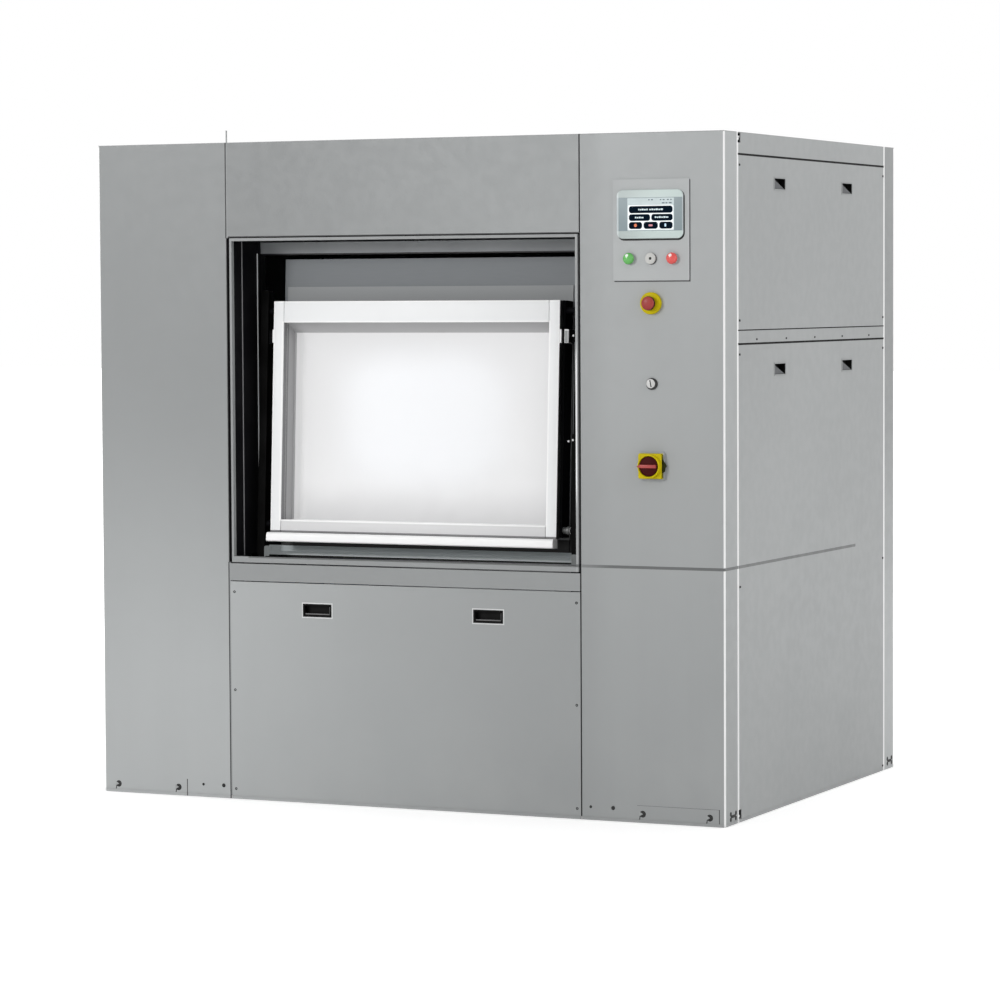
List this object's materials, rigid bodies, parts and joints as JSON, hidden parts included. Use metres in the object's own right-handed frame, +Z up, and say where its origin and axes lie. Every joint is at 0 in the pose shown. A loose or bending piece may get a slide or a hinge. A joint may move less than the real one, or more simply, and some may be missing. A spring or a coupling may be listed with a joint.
{
  "type": "barrier washer extractor",
  "caption": "Floor-standing barrier washer extractor with a sliding outer door on each face, a suspended tub and a two-compartment drum with leaf doors.",
  "frame": {"origin": "on the floor below the middle of the cabinet", "axes": "+X to the right of the loading side, +Y from the loading side to the unloading side, +Z up"},
  "size_m": [2.1524, 1.631, 2.122],
  "materials": {
    "cover_grey": "satin grey powder coat",
    "frame_dark": "dark grey paint",
    "lining_black": "black powder coat",
    "stainless": "brushed stainless",
    "drum_steel": "polished stainless",
    "cast_blue": "machine blue paint",
    "machined": "machined iron",
    "rubber_black": "matt rubber",
    "door_white": "white powder coat",
    "carrier_black": "black paint",
    "plastic_black": "matt black plastic",
    "gear_grey": "grey housings",
    "plate_grey": "satin grey",
    "screen_grey": "satin blue grey",
    "button_green": "green",
    "button_red": "red",
    "yellow": "yellow",
    "zinc": "zinc plated"
  },
  "bodies": {
    "cabinet": {"base_frame": "frame_dark", "foot_plates": "zinc", "post_frame": "frame_dark", "bay_rings": "frame_dark", "jamb_linings": "lining_black", "left_front_cover": "cover_grey", "left_rear_cover": "cover_grey", "right_rear_cover": "cover_grey", "header_panels": "cover_grey", "mid_rails": "cover_grey", "lower_panels": "cover_grey", "opening_bezels": "cover_grey", "upper_side_panels": "cover_grey", "lower_side_panels": "cover_grey", "side_rails": "cover_grey", "top_panel": "cover_grey", "recessed_grips": "plastic_black", "air_springs": "rubber_black", "service_inlets": "stainless", "drain_box": "stainless", "mounting_plate": "zinc", "switchgear": "gear_grey", "rear_control_plate": "plate_grey"},
    "suspended_unit": {"cradle": "cast_blue", "tub_shell": "stainless", "tub_ends": "stainless", "tub_mouths": "stainless", "mouth_seals": "rubber_black", "door_rails": "frame_dark", "bearing_pedestals": "cast_blue", "motor": "cast_blue", "drive_belts": "rubber_black", "drain_valve": "stainless", "brake_calliper": "button_red"},
    "drum": {"drum_shell": "drum_steel", "drum_ends": "drum_steel", "drum_partition": "drum_steel", "drum_pulley": "machined", "brake_disc": "machined"},
    "front_upper_leaf": {"front_upper_leaf": "drum_steel"},
    "front_lower_leaf": {"front_lower_leaf": "drum_steel"},
    "rear_upper_leaf": {"rear_upper_leaf": "drum_steel"},
    "rear_lower_leaf": {"rear_lower_leaf": "drum_steel"},
    "motor_pulley": {"motor_pulley": "machined"},
    "front_outer_door": {"front_door": "door_white", "front_door_carrier": "carrier_black"},
    "rear_outer_door": {"rear_door": "door_white", "rear_door_carrier": "carrier_black"},
    "electrical_cover": {"electrical_door": "cover_grey", "control_plate": "plate_grey", "touch_screen": "screen_grey"},
    "start_button": {"start_button": "button_green"},
    "stop_button": {"stop_button": "button_red"},
    "key_switch": {"key_switch": "zinc"},
    "emergency_stop": {"emergency_stop": "button_red"},
    "isolator_handle": {"isolator_handle": "button_red"},
    "door_lock": {"door_lock": "zinc"},
    "rear_stop": {"rear_stop": "button_red"},
    "rear_open_button": {"rear_open_button": "button_green"},
    "rear_close_button": {"rear_close_button": "button_red"}
  },
  "joints": [
    {"name": "suspension", "type": "slide", "parent": "cabinet", "child": "suspended_unit", "axis": [0, 0, 1], "range_m": [-0.008, 0.008], "stiffness_N_per_m": 1500000, "springref_m": 0.00975, "deforming": ["air_springs"]},
    {"name": "drum_spin", "type": "hinge", "parent": "suspended_unit", "child": "drum", "pos_m": [0, 0, 1.18], "axis": [1, 0, 0], "continuous": true},
    {"name": "motor_spin", "type": "hinge", "parent": "suspended_unit", "child": "motor_pulley", "pos_m": [-0.735, 0.15, 0.49], "axis": [1, 0, 0], "continuous": true},
    {"name": "front_upper_leaf_hinge", "type": "hinge", "parent": "drum", "child": "front_upper_leaf", "pos_m": [0, -0.42601, 1.464], "axis": [1, 0, 0], "range_deg": [0, 100]},
    {"name": "front_lower_leaf_hinge", "type": "hinge", "parent": "drum", "child": "front_lower_leaf", "pos_m": [0, -0.42601, 0.896], "axis": [-1, 0, 0], "range_deg": [0, 100]},
    {"name": "rear_upper_leaf_hinge", "type": "hinge", "parent": "drum", "child": "rear_upper_leaf", "pos_m": [0, 0.42601, 1.464], "axis": [-1, 0, 0], "range_deg": [0, 100]},
    {"name": "rear_lower_leaf_hinge", "type": "hinge", "parent": "drum", "child": "rear_lower_leaf", "pos_m": [0, 0.42601, 0.896], "axis": [1, 0, 0], "range_deg": [0, 100]},
    {"name": "front_door_slide", "type": "slide", "parent": "suspended_unit", "child": "front_outer_door", "axis": [0, -0.0529, -0.9986], "range_m": [0, 0.68]},
    {"name": "rear_door_slide", "type": "slide", "parent": "suspended_unit", "child": "rear_outer_door", "axis": [0, 0.0529, -0.9986], "range_m": [0, 0.68]},
    {"name": "electrical_door_hinge", "type": "hinge", "parent": "cabinet", "child": "electrical_cover", "pos_m": [1.07, -0.6565, 0], "axis": [0, 0, 1], "range_deg": [0, 105]},
    {"name": "start_button_push", "type": "slide", "parent": "electrical_cover", "child": "start_button", "axis": [0, 1, 0], "range_m": [0, 0.003], "stiffness_N_per_m": 600},
    {"name": "stop_button_push", "type": "slide", "parent": "electrical_cover", "child": "stop_button", "axis": [0, 1, 0], "range_m": [0, 0.003], "stiffness_N_per_m": 600},
    {"name": "key_switch_turn", "type": "hinge", "parent": "electrical_cover", "child": "key_switch", "pos_m": [0.842, -0.7775, 1.703], "axis": [0, 1, 0], "range_deg": [0, 90]},
    {"name": "emergency_stop_push", "type": "slide", "parent": "electrical_cover", "child": "emergency_stop", "axis": [0, 1, 0], "range_m": [0, 0.005], "stiffness_N_per_m": 800},
    {"name": "isolator_turn", "type": "hinge", "parent": "electrical_cover", "child": "isolator_handle", "pos_m": [0.842, -0.7775, 1.081], "axis": [0, -1, 0], "range_deg": [0, 90]},
    {"name": "door_lock_turn", "type": "hinge", "parent": "electrical_cover", "child": "door_lock", "pos_m": [0.842, -0.7775, 1.328], "axis": [0, 1, 0], "range_deg": [0, 90]},
    {"name": "rear_stop_push", "type": "slide", "parent": "cabinet", "child": "rear_stop", "axis": [0, -1, 0], "range_m": [0, 0.005], "stiffness_N_per_m": 800},
    {"name": "rear_open_push", "type": "slide", "parent": "cabinet", "child": "rear_open_button", "axis": [0, -1, 0], "range_m": [0, 0.003], "stiffness_N_per_m": 600},
    {"name": "rear_close_push", "type": "slide", "parent": "cabinet", "child": "rear_close_button", "axis": [0, -1, 0], "range_m": [0, 0.003], "stiffness_N_per_m": 600}
  ],
  "couplings": [
    {"joint": "motor_spin", "follows": "drum_spin", "ratio": 4}
  ]
}
